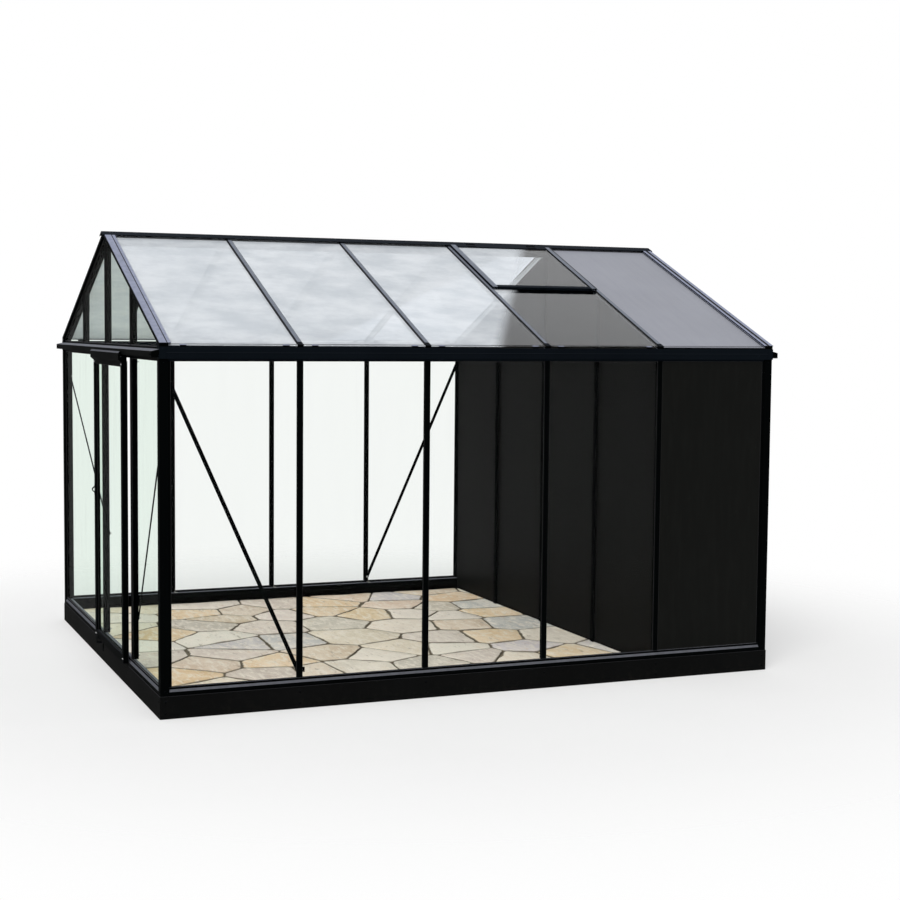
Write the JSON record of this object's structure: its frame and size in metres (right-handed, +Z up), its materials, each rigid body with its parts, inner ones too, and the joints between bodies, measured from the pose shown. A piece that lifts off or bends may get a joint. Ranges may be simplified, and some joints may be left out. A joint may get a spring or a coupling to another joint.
{
  "type": "glass greenhouse with a closed store bay",
  "caption": "Gable-roofed glass greenhouse in a black aluminium frame, with a sliding gable door, a roof vent, a stone floor and a closed dark store bay at one end.",
  "frame": {"origin": "middle of the building's plan, at ground level under the floor", "axes": "+X along the ridge from the door gable to the store end, -Y out of the front wall, +Z up"},
  "size_m": [3.7935, 3.116, 2.6112],
  "materials": {
    "frame_black": "satin",
    "clear_glass": "clear",
    "dark_panel": "gloss",
    "grey_panel": "satin",
    "stone": "rough",
    "zinc_steel": "satin"
  },
  "bodies": {
    "frame": {"stone_floor": "stone", "base_sides": "frame_black", "base_ends": "frame_black", "sill_sides": "frame_black", "sill_ends": "frame_black", "corner_posts": "frame_black", "front_posts": "frame_black", "back_posts": "frame_black", "door_jambs": "frame_black", "store_end_posts": "frame_black", "gutters": "frame_black", "door_end_transom": "frame_black", "store_end_transom": "frame_black", "ridge_bar": "frame_black", "front_rafters": "frame_black", "back_rafters": "frame_black", "door_end_verges": "frame_black", "store_end_verges": "frame_black", "door_end_mullions": "frame_black", "store_end_mullions": "frame_black", "front_glass": "clear_glass", "back_glass": "clear_glass", "door_end_glass": "clear_glass", "door_end_top_glass": "clear_glass", "front_roof_glass": "clear_glass", "back_roof_glass": "clear_glass", "vent_stiles": "frame_black", "vent_rails": "frame_black", "vent_glass": "clear_glass", "vent_cross_bar": "frame_black", "store_wall_panels": "dark_panel", "store_end_panels": "dark_panel", "store_end_top_panels": "dark_panel", "store_roof_panels": "grey_panel", "partition_panels": "dark_panel", "partition_posts": "frame_black", "wind_braces": "frame_black", "gusset_plates": "frame_black", "door_guide": "frame_black"},
    "door": {"door_stiles": "frame_black", "door_rails": "frame_black", "door_glass": "clear_glass", "door_drip": "frame_black", "door_hangers": "zinc_steel", "door_handle": "frame_black"}
  },
  "joints": [
    {"name": "door_slide", "type": "slide", "parent": "frame", "child": "door", "axis": [0, 1, 0], "range_m": [-0.04, 0.78]}
  ]
}
